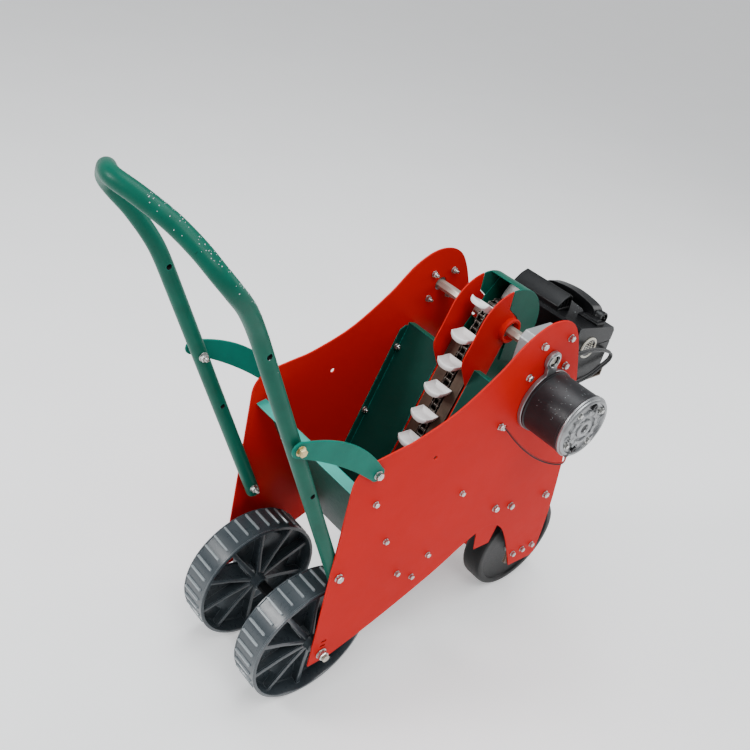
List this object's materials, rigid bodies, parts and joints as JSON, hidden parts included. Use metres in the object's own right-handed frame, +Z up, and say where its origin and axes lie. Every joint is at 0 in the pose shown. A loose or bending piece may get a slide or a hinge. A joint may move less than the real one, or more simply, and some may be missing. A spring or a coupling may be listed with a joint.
{
  "type": "push seeder",
  "caption": "Hand-pushed single-row seeder: twin sheet side plates, V hopper, motor-driven chain-and-spoon elevator, seed boot, wheels and a bent tube handle.",
  "frame": {"origin": "on the ground under the middle of the machine's box", "axes": "+X the way it travels, +Y to its left, +Z up"},
  "size_m": [1.0463, 0.3892, 0.9884],
  "materials": {
    "red_paint": "gloss powder coat",
    "green_paint": "gloss powder coat",
    "dark_green_paint": "satin powder coat",
    "zinc_steel": "zinc plated",
    "bare_steel": "bare, slightly browned",
    "grey_plastic": "moulded, satin",
    "black_plastic": "moulded, satin",
    "white_plastic": "moulded, semi gloss",
    "cast_alloy": "as cast and machined",
    "motor_black": "satin paint",
    "cable_black": "matt sheath"
  },
  "bodies": {
    "frame": {"axle_nut_left": "zinc_steel", "axle_nut_right": "zinc_steel", "axle_sleeve": "black_plastic", "battery_box": "black_plastic", "battery_handle": "black_plastic", "battery_lead": "cable_black", "battery_tray": "bare_steel", "chute_cover": "green_paint", "elevator_chain": "bare_steel", "elevator_cheek_left": "red_paint", "elevator_cheek_right": "red_paint", "elevator_guide": "bare_steel", "foot_shaft": "zinc_steel", "front_bolt_left": "zinc_steel", "front_bolt_right": "zinc_steel", "front_bracket_left": "bare_steel", "front_bracket_right": "bare_steel", "gearbox_cover": "cast_alloy", "gearbox_housing": "cast_alloy", "handle_tube": "green_paint", "hopper_floor": "dark_green_paint", "hopper_front_panel_left": "dark_green_paint", "hopper_front_panel_right": "dark_green_paint", "hopper_rear_panel": "dark_green_paint", "link_arm_left": "green_paint", "link_arm_right": "green_paint", "link_bolt_left": "zinc_steel", "link_bolt_right": "zinc_steel", "motor_body": "motor_black", "motor_end_cap": "cast_alloy", "motor_lead": "cable_black", "rear_axle": "zinc_steel", "seed_boot": "red_paint", "seed_spout": "green_paint", "shaft_bearing_left": "cast_alloy", "side_plate_left": "red_paint", "side_plate_right": "red_paint", "spoon_01": "white_plastic", "spoon_02": "white_plastic", "spoon_03": "white_plastic", "spoon_04": "white_plastic", "spoon_05": "white_plastic", "spoon_06": "white_plastic", "spoon_07": "white_plastic", "spoon_08": "white_plastic", "spoon_09": "white_plastic", "spoon_10": "white_plastic", "spoon_11": "white_plastic", "spoon_12": "white_plastic", "spoon_13": "white_plastic", "spoon_14": "white_plastic", "spoon_15": "white_plastic", "spoon_16": "white_plastic"},
    "rear_wheel_right": {"rear_wheel_right": "grey_plastic"},
    "rear_wheel_left": {"rear_wheel_left": "grey_plastic"},
    "front_wheel_right": {"front_wheel_right": "black_plastic"},
    "front_wheel_left": {"front_wheel_left": "black_plastic"},
    "drive_shaft": {"head_sprocket": "bare_steel", "hex_shaft": "zinc_steel"},
    "foot_sprocket": {"foot_sprocket": "bare_steel"}
  },
  "joints": [
    {"name": "rear_wheel_right_spin", "type": "hinge", "parent": "frame", "child": "rear_wheel_right", "pos_m": [-0.1369, -0.04055, 0.125], "axis": [0, 1, 0], "continuous": true},
    {"name": "rear_wheel_left_spin", "type": "hinge", "parent": "frame", "child": "rear_wheel_left", "pos_m": [-0.1369, 0.12375, 0.125], "axis": [0, 1, 0], "continuous": true},
    {"name": "front_wheel_right_spin", "type": "hinge", "parent": "frame", "child": "front_wheel_right", "pos_m": [0.4141, -0.0359, 0.109], "axis": [0, 1, 0], "continuous": true},
    {"name": "front_wheel_left_spin", "type": "hinge", "parent": "frame", "child": "front_wheel_left", "pos_m": [0.4141, 0.1191, 0.109], "axis": [0, 1, 0], "continuous": true},
    {"name": "drive_shaft_spin", "type": "hinge", "parent": "frame", "child": "drive_shaft", "pos_m": [0.2381, 0.0416, 0.634], "axis": [0, 1, 0], "continuous": true},
    {"name": "foot_sprocket_spin", "type": "hinge", "parent": "frame", "child": "foot_sprocket", "pos_m": [0.14097, 0.0416, 0.32595], "axis": [0, 1, 0], "continuous": true}
  ],
  "couplings": [
    {"joint": "foot_sprocket_spin", "follows": "drive_shaft_spin", "ratio": 1}
  ]
}
